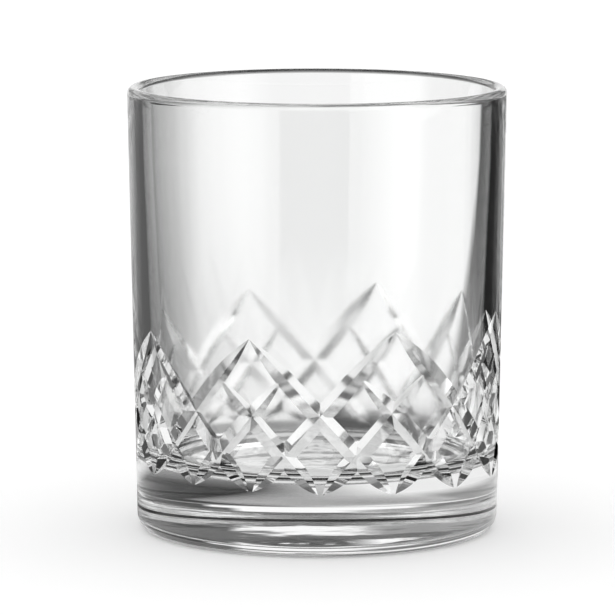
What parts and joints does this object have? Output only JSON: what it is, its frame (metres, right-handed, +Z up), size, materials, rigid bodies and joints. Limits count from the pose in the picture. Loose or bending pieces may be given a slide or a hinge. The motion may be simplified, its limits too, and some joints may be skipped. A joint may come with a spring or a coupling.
{
  "type": "rocks glass",
  "caption": "Heavy-based clear rocks glass with a slightly flared wall, rounded rim and a band of crossed V cuts forming peaked diamonds round the lower half, to hold a short drink",
  "frame": {"origin": "centre of the foot, on the surface that the glass stands on", "axes": "+Z runs up the axis of the glass to the rim; -Y is the side that faces the camera in the picture"},
  "size_m": [0.08, 0.08, 0.094],
  "materials": {
    "clear_glass": "clear colourless soda-lime glass, fire polished, with polished V cuts"
  },
  "bodies": {
    "root": {"tumbler": "clear_glass"}
  },
  "joints": []
}
